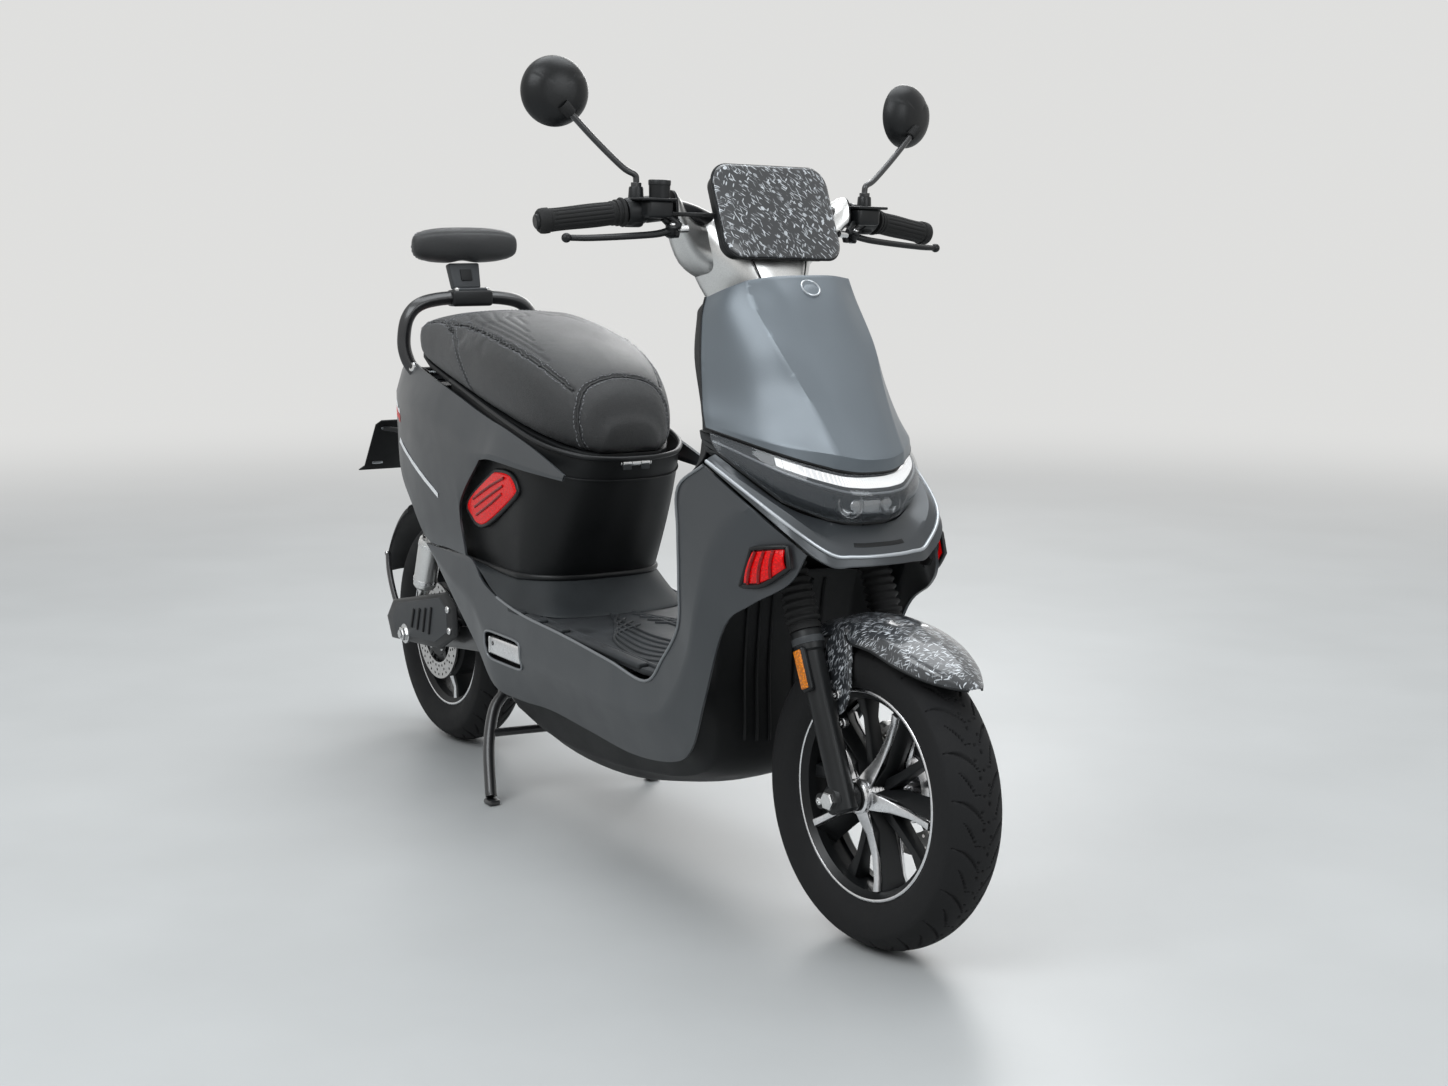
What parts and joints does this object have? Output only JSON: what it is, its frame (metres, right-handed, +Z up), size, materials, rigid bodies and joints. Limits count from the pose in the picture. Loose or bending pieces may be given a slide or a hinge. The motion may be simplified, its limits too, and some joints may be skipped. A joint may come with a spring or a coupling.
{
  "type": "electric scooter",
  "caption": "Step-through electric scooter with a cushioned seat, telescopic fork, cast wheels, hub motor, lift-up seat, folding stand and footpegs.",
  "frame": {"origin": "on the ground under the middle of the overall box", "axes": "+X forward, +Y to the rider's left, +Z up"},
  "size_m": [1.8141, 0.6867, 1.1727],
  "materials": {
    "black_steel": "satin black paint",
    "cowl_blue": "satin blue-grey paint",
    "gunmetal": "metallic gunmetal paint",
    "cast_silver": "satin cast silver",
    "silver": "machined silver",
    "brake_steel": "ground steel",
    "patterned": "gloss black with a chopped-flake pattern",
    "black_plastic": "fine-grained black plastic",
    "case_grey": "grey case",
    "clear_lens": "clear dark lens",
    "red_lens": "red lens",
    "leather": "black grained leather",
    "black_rubber": "black rubber",
    "tyre_rubber": "black tyre rubber"
  },
  "bodies": {
    "chassis": {"frame": "black_steel", "front_cowl": "cowl_blue", "headlamp_lens": "clear_lens", "headlamp_housing": "black_plastic", "front_apron": "gunmetal", "inner_leg_shield": "black_plastic", "belly_pan": "black_plastic", "floor_mat": "black_rubber", "seat_tub": "black_plastic", "tail_lamp": "red_lens", "plate_holder": "black_plastic", "grab_rail": "black_steel", "backrest_pad": "leather", "battery": "case_grey", "controller": "case_grey", "side_fairing_right": "gunmetal", "side_fairing_left": "gunmetal", "front_lamp_right": "red_lens", "front_lamp_left": "red_lens", "side_panel_right": "gunmetal", "side_panel_left": "gunmetal", "side_lamp_right": "red_lens", "side_lamp_left": "red_lens"},
    "key": {"key_switch": "silver"},
    "seat": {"seat_base": "black_plastic", "seat_cushion": "leather"},
    "swingarm": {"swingarm": "black_steel"},
    "rear_wheel": {"rear_tyre": "tyre_rubber", "rear_rim": "black_steel", "rear_disc": "brake_steel"},
    "stand": {"centre_stand": "black_steel"},
    "footpeg_right": {"footpeg_right": "silver"},
    "footpeg_left": {"footpeg_left": "silver"},
    "shock_rod_right": {"shock_rod_right": "black_steel"},
    "shock_rod_left": {"shock_rod_left": "black_steel"},
    "shock_body_right": {"shock_body_right": "silver"},
    "shock_body_left": {"shock_body_left": "silver"},
    "steering": {"fork_crown": "black_steel", "handlebar": "black_steel", "neck_cover": "cast_silver", "instrument_panel": "black_plastic", "panel_cover": "patterned", "grip_left": "black_rubber", "control_pod_right": "black_plastic", "control_pod_left": "black_plastic", "brake_hose": "black_rubber"},
    "throttle": {"throttle_grip": "black_rubber"},
    "lever_right": {"brake_lever_right": "black_steel"},
    "lever_left": {"brake_lever_left": "black_steel"},
    "mirror_right": {"mirror_right": "black_plastic"},
    "mirror_left": {"mirror_left": "black_plastic"},
    "horn": {"horn_button": "red_lens"},
    "fork_slider": {"fork_lower_right": "black_steel", "fork_lower_left": "black_steel", "front_fender": "patterned", "bellows_right": "black_rubber", "bellows_left": "black_rubber"},
    "front_wheel": {"front_tyre": "tyre_rubber", "front_rim": "black_steel", "front_disc": "brake_steel"}
  },
  "joints": [
    {"name": "steer", "type": "hinge", "parent": "chassis", "child": "steering", "pos_m": [0.7765, 0, 0], "axis": [-0.4067, 0, 0.9135], "range_deg": [-44, 36]},
    {"name": "fork_slide", "type": "slide", "parent": "steering", "child": "fork_slider", "axis": [-0.4067, 0, 0.9135], "range_m": [0, 0.06], "stiffness_N_per_m": 12000, "springref_m": -0.06, "deforming": ["bellows_right", "bellows_left"]},
    {"name": "front_wheel_spin", "type": "hinge", "parent": "fork_slider", "child": "front_wheel", "pos_m": [0.70346, 0.00125, 0.20798], "axis": [-0.0637, 0.9976, -0.0284], "continuous": true},
    {"name": "throttle_twist", "type": "hinge", "parent": "steering", "child": "throttle", "pos_m": [0.38672, -0.2481, 0.96361], "axis": [-0.0985, -0.99, -0.1011], "range_deg": [0, 60], "stiffness_Nm_per_rad": 0.25, "springref_deg": -22.92},
    {"name": "lever_pull_right", "type": "hinge", "parent": "steering", "child": "lever_right", "pos_m": [0.41617, -0.15257, 0.94332], "axis": [-0.4913, 0.037, -0.8702], "range_deg": [0, 7], "stiffness_Nm_per_rad": 1.5, "springref_deg": -8.59},
    {"name": "lever_pull_left", "type": "hinge", "parent": "steering", "child": "lever_left", "pos_m": [0.39628, 0.15867, 0.93446], "axis": [0.4794, 0.1483, 0.8649], "range_deg": [0, 7], "stiffness_Nm_per_rad": 1.5, "springref_deg": -8.59},
    {"name": "mirror_turn_right", "type": "hinge", "parent": "steering", "child": "mirror_right", "pos_m": [0.38309, -0.29151, 1.10208], "axis": [0, 0, 1], "range_deg": [-15, 15]},
    {"name": "mirror_turn_left", "type": "hinge", "parent": "steering", "child": "mirror_left", "pos_m": [0.34523, 0.30104, 1.08523], "axis": [0, 0, 1], "range_deg": [-15, 15]},
    {"name": "horn_press", "type": "slide", "parent": "steering", "child": "horn", "axis": [0.998, 0.0637, -0.0009], "range_m": [0, 0.002], "stiffness_N_per_m": 400, "springref_m": -0.003},
    {"name": "key_turn", "type": "hinge", "parent": "chassis", "child": "key", "pos_m": [0.38197, -0.062, 0.68998], "axis": [-0.9135, 0, -0.4067], "range_deg": [0, 90]},
    {"name": "seat_hinge", "type": "hinge", "parent": "chassis", "child": "seat", "pos_m": [0.034, 0, 0.58248], "axis": [0, 1, 0], "range_deg": [0, 80]},
    {"name": "stand_fold", "type": "hinge", "parent": "chassis", "child": "stand", "pos_m": [-0.27, 0, 0.166], "axis": [0, 1, 0], "range_deg": [0, 110]},
    {"name": "footpeg_fold_right", "type": "hinge", "parent": "chassis", "child": "footpeg_right", "pos_m": [-0.144, -0.1395, 0.258], "axis": [1, 0, 0], "range_deg": [0, 88]},
    {"name": "footpeg_fold_left", "type": "hinge", "parent": "chassis", "child": "footpeg_left", "pos_m": [-0.144, 0.1395, 0.258], "axis": [-1, 0, 0], "range_deg": [0, 88]},
    {"name": "swingarm_pivot", "type": "hinge", "parent": "chassis", "child": "swingarm", "pos_m": [-0.315, 0, 0.245], "axis": [0, 1, 0], "range_deg": [0, 7], "stiffness_Nm_per_rad": 1800, "springref_deg": -11.46},
    {"name": "rear_wheel_spin", "type": "hinge", "parent": "swingarm", "child": "rear_wheel", "pos_m": [-0.6435, 0, 0.208], "axis": [0, 1, 0], "continuous": true},
    {"name": "shock_swing_right", "type": "hinge", "parent": "chassis", "child": "shock_rod_right", "pos_m": [-0.525, -0.093, 0.475], "axis": [0, 1, 0], "range_deg": [0, 2.79]},
    {"name": "shock_swing_left", "type": "hinge", "parent": "chassis", "child": "shock_rod_left", "pos_m": [-0.525, 0.093, 0.475], "axis": [0, 1, 0], "range_deg": [0, 2.79]},
    {"name": "shock_press_right", "type": "slide", "parent": "shock_rod_right", "child": "shock_body_right", "axis": [0.3562, 0, 0.9344], "range_m": [0, 0.03443]},
    {"name": "shock_press_left", "type": "slide", "parent": "shock_rod_left", "child": "shock_body_left", "axis": [0.3562, 0, 0.9344], "range_m": [0, 0.03443]}
  ],
  "couplings": [
    {"joint": "shock_swing_right", "follows": "swingarm_pivot", "ratio": 0.39825},
    {"joint": "shock_swing_left", "follows": "swingarm_pivot", "ratio": 0.39825},
    {"joint": "shock_press_right", "follows": "swingarm_pivot", "m_per_rad": 0.28149},
    {"joint": "shock_press_left", "follows": "swingarm_pivot", "m_per_rad": 0.28149}
  ]
}
